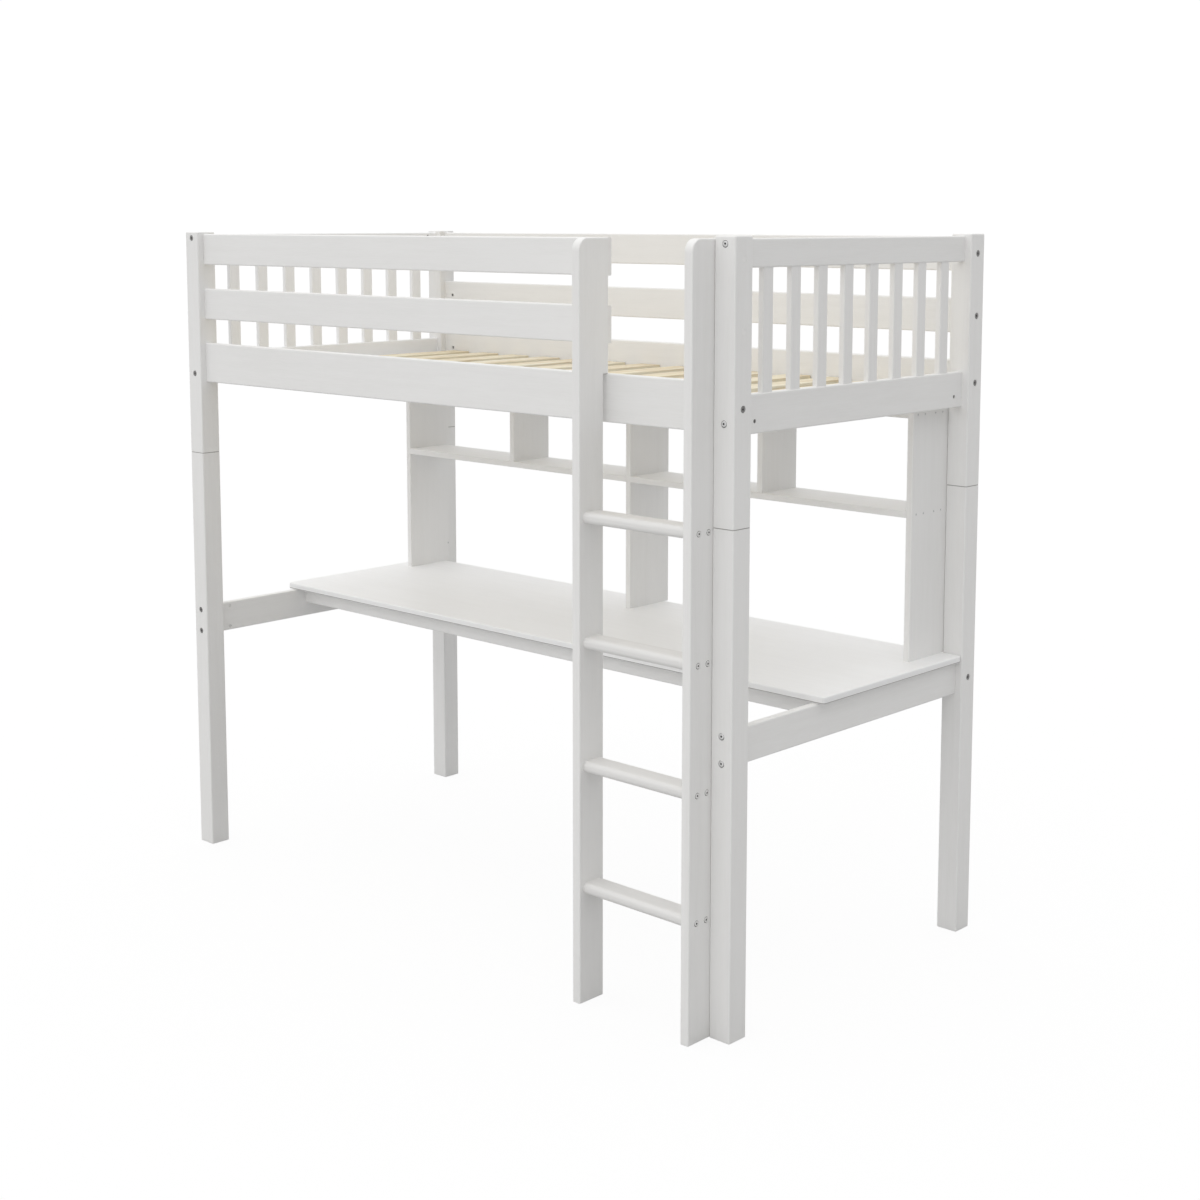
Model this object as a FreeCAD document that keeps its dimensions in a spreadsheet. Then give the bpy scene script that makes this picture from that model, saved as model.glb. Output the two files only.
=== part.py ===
import FreeCAD, Part
import os
import re
import Sketcher

# A high bed on four two-piece posts, with a slatted deck, guard boards, a fixed
# ladder, a full-length desk and an open shelf unit below. Everything is wood,
# held by bolts with barrel nuts, screws and dowels.
# +X runs along the bed towards the ladder end, -Y is the ladder side, +Z is up.
# The origin is on the floor under the middle of the whole bed, ladder included.

doc = FreeCAD.newDocument("LoftBed")

# ---------------------------------------------------------------- sizes (mm)
SIZES = {
    # frame
    "bed_length": 2100,
    "bed_depth": 1013,
    "post_side": 61,
    "post_above_guards": 6,
    "joint_below_rail": 212,
    "post_edge_radius": 4,
    "end_chamfer": 1.2,
    "board_thickness": 21,
    "board_edge_radius": 4,
    "side_rail_bottom": 1415,
    "side_rail_height": 116,
    "guard_height": 90,
    "guard_gap": 70.5,
    # head and foot panels
    "panel_drop": 4,
    "panel_low_rail_height": 92,
    "panel_top_rail_height": 66,
    "panel_slat_count": 8,
    "panel_slat_width": 36,
    "panel_slat_thickness": 16,
    "panel_slat_radius": 3,
    "mortise_depth": 12,
    # slatted deck
    "bed_slat_count": 14,
    "bed_slat_end_gap": 41,
    "bed_slat_width": 76,
    "bed_slat_thickness": 18,
    "bed_slat_radius": 2.5,
    "slat_end_clearance": 3,
    "slat_top_above_rail_bottom": 49,
    "cleat_width": 22,
    "cleat_height": 24,
    "cleat_screw_inset": 120,
    # ladder
    "ladder_stand_off": 74,
    "ladder_width": 371,
    "stile_thickness": 25,
    "stile_depth": 82,
    "stile_bearing": 6,
    "stile_top_radius": 30,
    "stile_edge_radius": 3,
    "guard_housing_stop": 5,
    "rung_count": 4,
    "first_rung_height": 288,
    "rung_pitch": 302,
    "rung_depth": 64,
    "rung_thickness": 28,
    "rung_inset": 12,
    "rung_edge_radius": 12,
    # desk
    "desk_top": 755,
    "desk_end_inset": 2,
    "desk_width": 601,
    "desktop_thickness": 19,
    "desktop_edge_radius": 4,
    "desktop_corner_radius": 8,
    "desk_rear_clearance": 1,
    "desk_rail_height": 87,
    "apron_height": 44,
    "apron_setback": 36,
    # shelf unit
    "shelf_board_thickness": 18,
    "shelf_edge_radius": 2,
    "upright_depth": 170,
    "upright_past_post": 13,
    "shelf_unit_below_rail": 7,
    "top_board_drop": 1.5,
    "compartment_height": 240,
    "shelf_depth": 153.5,
    # bolts and barrel nuts
    "bolt_diameter": 6,
    "bolt_hole_diameter": 7,
    "bolt_head_diameter": 16,
    "bolt_head_height": 3.5,
    "counterbore_diameter": 17,
    "counterbore_depth": 4,
    "hex_width": 5,
    "hex_depth": 2.5,
    "nut_diameter": 10,
    "nut_length": 16,
    "nut_distance": 36,
    "bolt_past_nut": 9,
    "panel_bolt_offset": 33,
    "desk_bolt_spacing": 64,
    # ladder screws
    "rung_screw_diameter": 6,
    "rung_screw_length": 55,
    "rung_screw_head": 15,
    "rung_screw_head_height": 3,
    "rung_screw_spacing": 34,
    "post_screw_first": 60,
    # small screws
    "screw_diameter": 4,
    "screw_length": 39,
    "screw_head_diameter": 8,
    "screw_head_height": 3,
    "screw_hex_width": 3,
    "guard_screw_spacing": 50,
    "shelf_screw_inset": 20,
    "shelf_screw_pair": 33,
    # dowels and plugs
    "post_dowel_diameter": 20,
    "post_dowel_length": 80,
    "dowel_diameter": 8,
    "dowel_length": 36,
    "dowel_short_end": 12,
    "dowel_inset": 60,
    "spare_plug_diameter": 8,
    "spare_plug_length": 12,
    "low_spare_holes": 237,
    "high_spare_holes": 697,
    "low_spare_pitch": 36,
    "high_spare_pitch": 18,
}

# places worked out from the sizes, in the order that they need each other
PLACES = {
    "right_end": "bed_length / 2",
    "left_end": "0 - right_end",
    "rear_face": "(bed_depth + ladder_stand_off) / 2",
    "front_face": "rear_face - bed_depth",
    "ladder_front": "0 - rear_face",
    "post_inside": "right_end - post_side",
    "front_inside": "front_face + post_side",
    "rear_inside": "rear_face - post_side",
    "board_setback": "(post_side - board_thickness) / 2",
    "front_board_y": "front_face + board_setback",
    "rear_board_y": "rear_face - board_setback - board_thickness",
    "left_board_x": "left_end + board_setback",
    "right_board_x": "right_end - board_setback - board_thickness",
    "front_post_mid": "front_face + post_side / 2",
    "rear_post_mid": "rear_face - post_side / 2",
    "left_post_mid": "left_end + post_side / 2",
    "right_post_mid": "right_end - post_side / 2",
    "rail_length": "bed_length - 2 * post_side",
    "panel_width": "bed_depth - 2 * post_side",
    "leg_height": "side_rail_bottom - joint_below_rail",
    "side_rail_top": "side_rail_bottom + side_rail_height",
    "mid_guard_bottom": "side_rail_top + guard_gap",
    "high_guard_bottom": "mid_guard_bottom + guard_height + guard_gap",
    "guard_top": "high_guard_bottom + guard_height",
    "post_height": "guard_top + post_above_guards",
    "side_rail_bolt": "side_rail_bottom + side_rail_height / 2",
    "mid_guard_bolt": "mid_guard_bottom + guard_height / 2",
    "high_guard_bolt": "high_guard_bottom + guard_height / 2",
    "panel_low_bolt": "side_rail_bolt - panel_bolt_offset",
    "panel_high_bolt": "high_guard_bolt + panel_bolt_offset",
    "panel_bottom": "side_rail_bottom - panel_drop",
    "panel_low_rail_top": "panel_bottom + panel_low_rail_height",
    "panel_top_rail_bottom": "guard_top - panel_top_rail_height",
    "panel_gap": "(panel_width - panel_slat_count * panel_slat_width) / (panel_slat_count + 1)",
    "panel_pitch": "panel_gap + panel_slat_width",
    "slat_length": "bed_depth - 2 * board_setback - 2 * board_thickness - 2 * slat_end_clearance",
    "slat_y": "front_board_y + board_thickness + slat_end_clearance",
    "bed_slat_pitch": "(rail_length - 2 * bed_slat_end_gap - bed_slat_width) / (bed_slat_count - 1)",
    "first_slat_x": "bed_slat_end_gap - post_inside",
    "slat_top": "side_rail_bottom + slat_top_above_rail_bottom",
    "cleat_bottom": "slat_top - bed_slat_thickness - cleat_height",
    "front_cleat_y": "front_board_y + board_thickness",
    "rear_cleat_y": "rear_board_y - cleat_width",
    "left_stile_x": "post_inside - ladder_width",
    "right_stile_x": "post_inside - stile_thickness",
    "stile_high_depth": "ladder_stand_off + board_setback + stile_bearing",
    "rung_length": "ladder_width - 2 * stile_thickness",
    "rung_mid_y": "ladder_front + rung_inset + rung_depth / 2",
    "front_guard_length": "left_stile_x + stile_thickness - guard_housing_stop + post_inside",
    "desk_length": "bed_length - 2 * desk_end_inset",
    "desk_rail_top": "desk_top - desktop_thickness",
    "desk_rail_bottom": "desk_rail_top - desk_rail_height",
    "desk_rail_mid": "desk_rail_top - desk_rail_height / 2",
    "desk_rear": "rear_inside - desk_rear_clearance",
    "desk_front": "desk_rear - desk_width",
    "apron_y": "desk_front + apron_setback",
    "apron_x": "left_board_x + board_thickness",
    "apron_length": "right_board_x - apron_x",
    "apron_bottom": "desk_rail_top - apron_height",
    "upright_y": "rear_inside + upright_past_post - upright_depth",
    "shelf_unit_top": "side_rail_bottom - shelf_unit_below_rail",
    "upright_height": "shelf_unit_top - desk_top",
    "left_upright_x": "0 - post_inside",
    "mid_upright_x": "0 - shelf_board_thickness / 2",
    "right_upright_x": "post_inside - shelf_board_thickness",
    "shelf_span": "post_inside - shelf_board_thickness * 3 / 2",
    "left_span_x": "left_upright_x + shelf_board_thickness",
    "right_span_x": "mid_upright_x + shelf_board_thickness",
    "top_board_bottom": "shelf_unit_top - top_board_drop - shelf_board_thickness",
    "shelf_top": "top_board_bottom - compartment_height",
    "shelf_bottom": "shelf_top - shelf_board_thickness",
}


def named(text, here=""):
    """An expression in which each size and place is named with its own sheet."""

    def with_sheet(found):
        word = found.group(0)
        if word in SIZES:
            return "Sizes." + word
        if word in PLACES and here != "Places":
            return "Places." + word
        return word

    return re.sub(r"[a-z][a-z_]+", with_sheet, text)


def fill_sheet(name, rows):
    """A sheet with one row a value: its name, the value, and the name as alias."""
    sheet = doc.addObject("Spreadsheet::Sheet", name)
    for row, (alias, value) in enumerate(rows.items(), start=1):
        sheet.set("A%d" % row, alias)
        if name == "Sizes":
            sheet.set("B%d" % row, str(value))
        else:
            sheet.set("B%d" % row, "=" + named(value, name))
        sheet.setAlias("B%d" % row, alias)
    doc.recompute()
    return sheet


sizes = fill_sheet("Sizes", SIZES)
places = fill_sheet("Places", PLACES)


def value(text):
    """The number that a text of sizes and places comes to."""

    def as_number(found):
        word = found.group(0)
        sheet = sizes if word in SIZES else places
        return "(%.6f)" % float(sheet.get(word))

    return FreeCAD.Units.Quantity(re.sub(r"[a-z][a-z_]+", as_number, text)).Value


def bind(thing, name, text):
    thing.setExpression(name, named(text))


# ------------------------------------------------------------- making boards
# For each face of a board: its sketch plane, the axis that it is square to,
# whether it is the far face on that axis, and the way that it faces.
FACES = {
    "left": ("YZ_Plane", 0, False, (-1, 0, 0)),
    "right": ("YZ_Plane", 0, True, (1, 0, 0)),
    "front": ("XZ_Plane", 1, False, (0, -1, 0)),
    "rear": ("XZ_Plane", 1, True, (0, 1, 0)),
    "bottom": ("XY_Plane", 2, False, (0, 0, -1)),
    "top": ("XY_Plane", 2, True, (0, 0, 1)),
}
corner_of = {}
size_of = {}
cuts = []


def face_sketch(body, face, name):
    """A sketch on one face of the body's outer box."""
    plane_role, axis, far, _ = FACES[face]
    sketch = body.newObject("Sketcher::SketchObject", name)
    for feature in body.Origin.OriginFeatures:
        if feature.Role == plane_role:
            sketch.AttachmentSupport = [(feature, "")]
    sketch.MapMode = "FlatFace"
    if far:
        sign = "0 - " if axis == 1 else ""
        bind(sketch, "AttachmentOffset.Base.z", sign + "(" + size_of[body.Name][axis] + ")")
    return sketch


def draw_outline(sketch, points):
    """A closed outline of straight lines, each corner placed by two bound distances."""
    first = sketch.GeometryCount
    count = len(points)
    rough = [FreeCAD.Vector(value(across), value(up), 0) for across, up in points]
    for i in range(count):
        sketch.addGeometry(Part.LineSegment(rough[i], rough[(i + 1) % count]), False)
    for i in range(count):
        line = first + i
        sketch.addConstraint(Sketcher.Constraint("Coincident", line, 2, first + (i + 1) % count, 1))
        for kind, text in (("DistanceX", points[i][0]), ("DistanceY", points[i][1])):
            if text == "0":
                axis_line = -2 if kind == "DistanceX" else -1
                sketch.addConstraint(Sketcher.Constraint("PointOnObject", line, 1, axis_line))
            else:
                number = sketch.addConstraint(Sketcher.Constraint(kind, -1, 1, line, 1, value(text)))
                bind(sketch, "Constraints[%d]" % number, text)


def draw_circle(sketch, across, up, diameter):
    centre = FreeCAD.Vector(value(across), value(up), 0)
    circle = sketch.addGeometry(Part.Circle(centre, FreeCAD.Vector(0, 0, 1), value(diameter) / 2), False)
    for kind, text in (("DistanceX", across), ("DistanceY", up)):
        number = sketch.addConstraint(Sketcher.Constraint(kind, -1, 1, circle, 3, value(text)))
        bind(sketch, "Constraints[%d]" % number, text)
    number = sketch.addConstraint(Sketcher.Constraint("Diameter", circle, value(diameter)))
    bind(sketch, "Constraints[%d]" % number, diameter)


def pad_body(label, face, points, length, corner, size):
    """A body padded from an outline on a near face, with its corner and outer size kept."""
    body = doc.addObject("PartDesign::Body", label)
    corner_of[body.Name] = corner
    size_of[body.Name] = size
    sketch = face_sketch(body, face, label + "_outline")
    draw_outline(sketch, points)
    pad = body.newObject("PartDesign::Pad", label + "_pad")
    pad.Profile = sketch
    bind(pad, "Length", length)
    for name, text in zip(("x", "y", "z"), corner):
        bind(body, "Placement.Base." + name, text)
    return body


def board(label, corner, size):
    """A plain board: its lowest corner, and its size along X, Y and Z."""
    wide, deep, high = size
    outline = [("0", "0"), (wide, "0"), (wide, deep), ("0", deep)]
    return pad_body(label, "bottom", outline, high, corner, size)


def runs_along(axis):
    """A test for straight edges that run along one axis: 0, 1 or 2."""

    def test(edge):
        box = edge.BoundBox
        spans = (box.XLength, box.YLength, box.ZLength)
        return all(spans[i] < 1e-6 for i in range(3) if i != axis)

    return test


def lies_at(axis, text):
    """A test for edges that lie in the plane at this place on one axis."""

    def test(edge):
        box = edge.BoundBox
        low, high = ((box.XMin, box.XMax), (box.YMin, box.YMax), (box.ZMin, box.ZMax))[axis]
        return abs(low - value(text)) < 1e-4 and abs(high - value(text)) < 1e-4

    return test


def dress_edges(body, kind, size, *tests):
    """A fillet or a chamfer on every edge of the body that passes one of the tests."""
    doc.recompute()
    base = body.Tip
    names = []
    for number, edge in enumerate(base.Shape.Edges, start=1):
        if any(test(edge) for test in tests):
            names.append("Edge%d" % number)
    feature = body.newObject("PartDesign::" + kind, body.Name + "_" + kind.lower())
    feature.Base = (base, names)
    bind(feature, "Radius" if kind == "Fillet" else "Size", size)


def cut_in(body, face, sketch, depth):
    """A pocket into the body from the sketch on one of its faces."""
    _, axis, far, _ = FACES[face]
    pocket = body.newObject("PartDesign::Pocket", sketch.Name + "_cut")
    pocket.Profile = sketch
    bind(pocket, "Length", depth)
    pocket.Reversed = far if axis == 1 else not far
    cuts.append(pocket)
    return pocket


def in_body(body, face, point):
    """The two coordinates, on a face's sketch, of a point given in the bed's frame."""
    axis = FACES[face][1]
    local = ["(%s) - (%s)" % (point[i], corner_of[body.Name][i]) for i in range(3) if i != axis]
    return local


def drill(body, face, point, diameter, depth):
    """A round hole, square to a face, over a point given in the bed's frame."""
    sketch = face_sketch(body, face, body.Name + "_hole")
    across, up = in_body(body, face, point)
    draw_circle(sketch, across, up, diameter)
    cut_in(body, face, sketch, depth)


def through(body, face):
    return size_of[body.Name][FACES[face][1]]


# ------------------------------------------------------------------- joints
bolts, nuts, rung_screws, screws, dowels, post_dowels, plugs, spare_plugs = ([] for _ in range(8))


def end_place(body, face):
    """Where a face of the body's outer box lies on its own axis."""
    axis = FACES[face][1]
    text = corner_of[body.Name][axis]
    if FACES[face][2]:
        text = text + " + " + size_of[body.Name][axis]
    return text


def on_axis(face, point, text):
    """The point moved to this place along the axis of the face."""
    moved = list(point)
    moved[FACES[face][1]] = text
    return moved


def deeper(face, text, distance):
    """A place this far into the wood from a place on the face."""
    sign = " - " if FACES[face][2] else " + "
    return "(" + text + ")" + sign + "(" + distance + ")"


def bolt_joint(post, rail, face, point, nut_face):
    """A bolt through a post into the end of a rail, where a barrel nut holds it."""
    drill(post, face, point, "counterbore_diameter", "counterbore_depth")
    drill(post, face, point, "bolt_hole_diameter", "post_side")
    drill(rail, face, point, "bolt_hole_diameter", "nut_distance + bolt_past_nut")
    nut_at = on_axis(face, point, deeper(face, end_place(rail, face), "nut_distance"))
    drill(rail, nut_face, nut_at, "nut_diameter", "(board_thickness + nut_length) / 2")
    head_at = deeper(face, end_place(post, face), "counterbore_depth - bolt_head_height")
    bolts.append((on_axis(face, point, head_at), face))
    nuts.append((nut_at, nut_face, face))


def screw_joint(first, second, face, point):
    """A small screw, sunk into a face of the first piece, that bites in the second."""
    drill(first, face, point, "screw_head_diameter", "screw_head_height")
    drill(first, face, point, "screw_diameter", through(first, face))
    drill(second, face, point, "screw_diameter", "screw_length - " + through(first, face))
    screws.append((on_axis(face, point, end_place(first, face)), face))


def dowel_joint(shallow, deep, face, point):
    """A dowel with its short end in one piece, and the rest in this face of the other."""
    opposite = {"left": "right", "right": "left", "top": "bottom", "front": "rear"}[face]
    drill(shallow, opposite, point, "dowel_diameter", "dowel_short_end")
    drill(deep, face, point, "dowel_diameter", "dowel_length - dowel_short_end")
    top_at = deeper(opposite, end_place(shallow, opposite), "dowel_short_end")
    dowels.append((on_axis(face, point, top_at), face))


# -------------------------------------------------------------------- posts
nodes = []


def keep(thing):
    nodes.append(thing)
    return thing


legs = {}
uppers = {}
for end_name, post_x in (("left", "left_end"), ("right", "post_inside")):
    for row_name, post_y in (("front", "front_face"), ("rear", "rear_inside")):
        place_name = row_name + "_" + end_name
        leg_size = ("post_side", "post_side", "leg_height")
        leg = keep(board("lower_leg_" + place_name, (post_x, post_y, "0"), leg_size))
        dress_edges(leg, "Fillet", "post_edge_radius", runs_along(2))
        dress_edges(leg, "Chamfer", "end_chamfer", lies_at(2, "0"), lies_at(2, "leg_height"))
        upper_height = "post_height - leg_height"
        upper_size = ("post_side", "post_side", upper_height)
        upper = keep(board("upper_post_" + place_name, (post_x, post_y, "leg_height"), upper_size))
        dress_edges(upper, "Fillet", "post_edge_radius", runs_along(2), lies_at(2, upper_height))
        dress_edges(upper, "Chamfer", "end_chamfer", lies_at(2, "0"))
        middle = (end_name + "_post_mid", row_name + "_post_mid", "leg_height")
        drill(leg, "top", middle, "post_dowel_diameter", "post_dowel_length / 2")
        drill(upper, "bottom", middle, "post_dowel_diameter", "post_dowel_length / 2")
        post_dowels.append((on_axis("top", middle, "leg_height + post_dowel_length / 2"), "top"))
        hole_rows = [("low_spare_holes", "low_spare_pitch")]
        if row_name == "front":
            hole_rows.append(("high_spare_holes", "high_spare_pitch"))
        spare_face = "right" if end_name == "left" else "left"
        for lowest, pitch in hole_rows:
            for number in range(3):
                point = ("0", row_name + "_post_mid", "%s + %d * %s" % (lowest, number, pitch))
                drill(leg, spare_face, point, "spare_plug_diameter", "spare_plug_length")
                spare_plugs.append((on_axis(spare_face, point, end_place(leg, spare_face)), spare_face))
        legs[row_name, end_name] = leg
        uppers[row_name, end_name] = upper

# ------------------------------------------- side rails, guards, desk rear rail
rails = {}
for row_name, inner_face in (("front", "rear"), ("rear", "front")):
    levels = [
        ("side_rail", "side_rail_bottom", "side_rail_height", "side_rail_bolt"),
        ("mid_guard", "mid_guard_bottom", "guard_height", "mid_guard_bolt"),
        ("top_guard", "high_guard_bottom", "guard_height", "high_guard_bolt"),
    ]
    if row_name == "rear":
        levels.append(("desk_rail", "desk_rail_bottom", "desk_rail_height", "desk_rail_mid"))
    for level_name, low, high, bolt_height in levels:
        beside_ladder = row_name == "front" and level_name != "side_rail"
        length = "front_guard_length" if beside_ladder else "rail_length"
        corner = ("0 - post_inside", row_name + "_board_y", low)
        rail = keep(board(row_name + "_" + level_name, corner, (length, "board_thickness", high)))
        dress_edges(rail, "Fillet", "board_edge_radius", runs_along(0))
        rails[row_name, level_name] = rail
        for end_name in ("left", "right"):
            post = (legs if level_name == "desk_rail" else uppers)[row_name, end_name]
            point = ("0", row_name + "_post_mid", bolt_height)
            if beside_ladder and end_name == "right":
                drill(post, end_name, point, "counterbore_diameter", "counterbore_depth")
                plugs.append((on_axis(end_name, point, end_place(post, end_name)), end_name))
            else:
                bolt_joint(post, rail, end_name, point, inner_face)

# ------------------------------------------------------ head and foot panels
for panel_name, end_name, inner_face in (("head", "left", "right"), ("foot", "right", "left")):
    panel_x = end_name + "_board_x"
    mid_x = end_name + "_post_mid"
    low_rail = keep(
        board(
            panel_name + "_low_rail",
            (panel_x, "front_inside", "panel_bottom"),
            ("board_thickness", "panel_width", "panel_low_rail_height"),
        )
    )
    top_rail = keep(
        board(
            panel_name + "_top_rail",
            (panel_x, "front_inside", "panel_top_rail_bottom"),
            ("board_thickness", "panel_width", "panel_top_rail_height"),
        )
    )
    slot_x = "(board_thickness - panel_slat_thickness) / 2"
    slot_end = slot_x + " + panel_slat_thickness"
    for rail, face in ((low_rail, "top"), (top_rail, "bottom")):
        dress_edges(rail, "Fillet", "board_edge_radius", runs_along(1))
        sketch = face_sketch(rail, face, rail.Name + "_mortise")
        draw_outline(
            sketch,
            [
                (slot_x, "panel_gap"),
                (slot_end, "panel_gap"),
                (slot_end, "panel_pitch"),
                (slot_x, "panel_pitch"),
            ],
        )
        mortise = cut_in(rail, face, sketch, "mortise_depth")
        doc.recompute()
        row = rail.newObject("PartDesign::LinearPattern", rail.Name + "_mortises")
        row.Originals = [mortise]
        row.Direction = (sketch, ["V_Axis"])
        bind(row, "Length", "panel_pitch * (panel_slat_count - 1)")
        bind(row, "Occurrences", "panel_slat_count")
        rail.Tip = row
        cuts.append(row)
    for row_name in ("front", "rear"):
        post = uppers[row_name, end_name]
        bolt_joint(post, low_rail, row_name, (mid_x, "0", "panel_low_bolt"), end_name)
        bolt_joint(post, top_rail, row_name, (mid_x, "0", "panel_high_bolt"), inner_face)
    slats = []
    slat_bottom = "panel_low_rail_top - mortise_depth"
    slat_height = "panel_top_rail_bottom - panel_low_rail_top + 2 * mortise_depth"
    for number in range(int(value("panel_slat_count"))):
        slat = board(
            "%s_slat_%d" % (panel_name, number + 1),
            (panel_x + " + " + slot_x, "front_inside + panel_gap + %d * panel_pitch" % number, slat_bottom),
            ("panel_slat_thickness", "panel_slat_width", slat_height),
        )
        dress_edges(slat, "Fillet", "panel_slat_radius", runs_along(2))
        slats.append(slat)
    group = doc.addObject("Part::Compound", panel_name + "_panel_slats")
    group.Links = slats
    keep(group)

# --------------------------------------------------------------- slatted deck
cleats = {}
for row_name, screw_face in (("front", "rear"), ("rear", "front")):
    cleats[row_name] = board(
        row_name + "_cleat",
        ("slat_end_clearance - post_inside", row_name + "_cleat_y", "cleat_bottom"),
        ("rail_length - 2 * slat_end_clearance", "cleat_width", "cleat_height"),
    )
    for place in ("cleat_screw_inset - post_inside", "0", "post_inside - cleat_screw_inset"):
        point = (place, "0", "cleat_bottom + cleat_height / 2")
        screw_joint(cleats[row_name], rails[row_name, "side_rail"], screw_face, point)
for number in range(int(value("bed_slat_count"))):
    slat = keep(
        board(
            "bed_slat_%02d" % (number + 1),
            ("first_slat_x + %d * bed_slat_pitch" % number, "slat_y", "slat_top - bed_slat_thickness"),
            ("bed_slat_width", "slat_length", "bed_slat_thickness"),
        )
    )
    dress_edges(slat, "Fillet", "bed_slat_radius", runs_along(1))
    for row_name in ("front", "rear"):
        point = (
            "first_slat_x + %d * bed_slat_pitch + bed_slat_width / 2" % number,
            row_name + "_cleat_y + cleat_width / 2",
            "0",
        )
        screw_joint(slat, cleats[row_name], "top", point)
group = doc.addObject("Part::Compound", "slat_cleats")
group.Links = list(cleats.values())
keep(group)

# --------------------------------------------------------------------- ladder
stiles = {}
stile_outline = [
    ("0", "0"),
    ("stile_depth", "0"),
    ("stile_depth", "side_rail_top"),
    ("stile_high_depth", "side_rail_top"),
    ("stile_high_depth", "guard_top"),
    ("0", "guard_top"),
]
for end_name in ("left", "right"):
    stile = keep(
        pad_body(
            "ladder_stile_" + end_name,
            "left",
            stile_outline,
            "stile_thickness",
            (end_name + "_stile_x", "ladder_front", "0"),
            ("stile_thickness", "stile_high_depth", "guard_top"),
        )
    )

    def front_top_corner(edge):
        middle = edge.CenterOfMass
        return runs_along(0)(edge) and middle.y < 1e-4 and middle.z > value("guard_top") - 1e-4

    dress_edges(stile, "Fillet", "stile_top_radius", front_top_corner)
    dress_edges(stile, "Fillet", "stile_edge_radius", lies_at(0, "0"), lies_at(0, "stile_thickness"))
    stiles[end_name] = stile

housing_width = "stile_thickness - guard_housing_stop"
for level_name, low in (("mid_guard", "mid_guard_bottom"), ("top_guard", "high_guard_bottom")):
    stile = stiles["left"]
    sketch = face_sketch(stile, "rear", stile.Name + "_housing")
    top = low + " + guard_height"
    draw_outline(sketch, [("0", low), (housing_width, low), (housing_width, top), ("0", top)])
    cut_in(stile, "rear", sketch, "stile_bearing")
    for side in (" - ", " + "):
        height = low + " + guard_height / 2" + side + "guard_screw_spacing / 2"
        point = ("left_stile_x + (stile_thickness - guard_housing_stop) / 2", "0", height)
        guard = rails["front", level_name]
        drill(guard, "rear", point, "screw_head_diameter", "screw_head_height")
        drill(guard, "rear", point, "screw_diameter", "board_thickness")
        drill(stile, "rear", point, "screw_diameter", "screw_length - board_thickness + stile_bearing")
        screws.append((on_axis("rear", point, end_place(guard, "rear")), "rear"))

for number in range(int(value("rung_count"))):
    rung_middle = "first_rung_height + %d * rung_pitch" % number
    rung_bottom = rung_middle + " - rung_thickness / 2"
    rung = keep(
        board(
            "ladder_rung_%d" % (number + 1),
            ("left_stile_x + stile_thickness", "ladder_front + rung_inset", rung_bottom),
            ("rung_length", "rung_depth", "rung_thickness"),
        )
    )
    dress_edges(rung, "Fillet", "rung_edge_radius", runs_along(0))
    for end_name in ("left", "right"):
        for side in (" - ", " + "):
            point = ("0", "rung_mid_y" + side + "rung_screw_spacing / 2", rung_middle)
            stile = stiles[end_name]
            drill(stile, end_name, point, "rung_screw_head", "rung_screw_head_height")
            drill(stile, end_name, point, "rung_screw_diameter", "stile_thickness")
            drill(rung, end_name, point, "rung_screw_diameter", "rung_screw_length - stile_thickness")
            rung_screws.append((on_axis(end_name, point, end_place(stile, end_name)), end_name))

# the ladder's outer stile is screwed to the side of its post, above the rail
for height in ("side_rail_top + post_screw_first", "guard_top - post_screw_first"):
    point = ("0", "(front_face + ladder_front + stile_high_depth) / 2", height)
    stile = stiles["right"]
    post = uppers["front", "right"]
    drill(stile, "left", point, "rung_screw_head", "rung_screw_head_height")
    drill(stile, "left", point, "rung_screw_diameter", "stile_thickness")
    drill(post, "left", point, "rung_screw_diameter", "rung_screw_length - stile_thickness")
    rung_screws.append((on_axis("left", point, end_place(stile, "left")), "left"))

# ----------------------------------------------------------------------- desk
desktop = keep(
    board(
        "desktop",
        ("0 - desk_length / 2", "desk_front", "desk_rail_top"),
        ("desk_length", "desk_width", "desktop_thickness"),
    )
)
dress_edges(desktop, "Fillet", "desktop_corner_radius", runs_along(2))
dress_edges(desktop, "Fillet", "desktop_edge_radius", lies_at(2, "0"), lies_at(2, "desktop_thickness"))

apron = keep(
    board(
        "desk_front_apron",
        ("apron_x", "apron_y", "apron_bottom"),
        ("apron_length", "board_thickness", "apron_height"),
    )
)
dress_edges(apron, "Fillet", "board_edge_radius", runs_along(0))

for end_name, inner_face in (("left", "right"), ("right", "left")):
    side_rail = keep(
        board(
            "desk_side_rail_" + end_name,
            (end_name + "_board_x", "front_inside", "desk_rail_bottom"),
            ("board_thickness", "panel_width", "desk_rail_height"),
        )
    )
    dress_edges(side_rail, "Fillet", "board_edge_radius", runs_along(1))
    for row_name in ("front", "rear"):
        for side in (" - ", " + "):
            point = (end_name + "_post_mid", "0", "desk_rail_mid" + side + "desk_bolt_spacing / 2")
            bolt_joint(legs[row_name, end_name], side_rail, row_name, point, inner_face)
    apron_point = ("0", "apron_y + board_thickness / 2", "apron_bottom + apron_height / 2")
    dowel_joint(side_rail, apron, end_name, apron_point)
    for place in ("desk_front + dowel_inset", "(desk_front + desk_rear) / 2"):
        dowel_joint(desktop, side_rail, "top", (end_name + "_post_mid", place, "0"))

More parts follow.
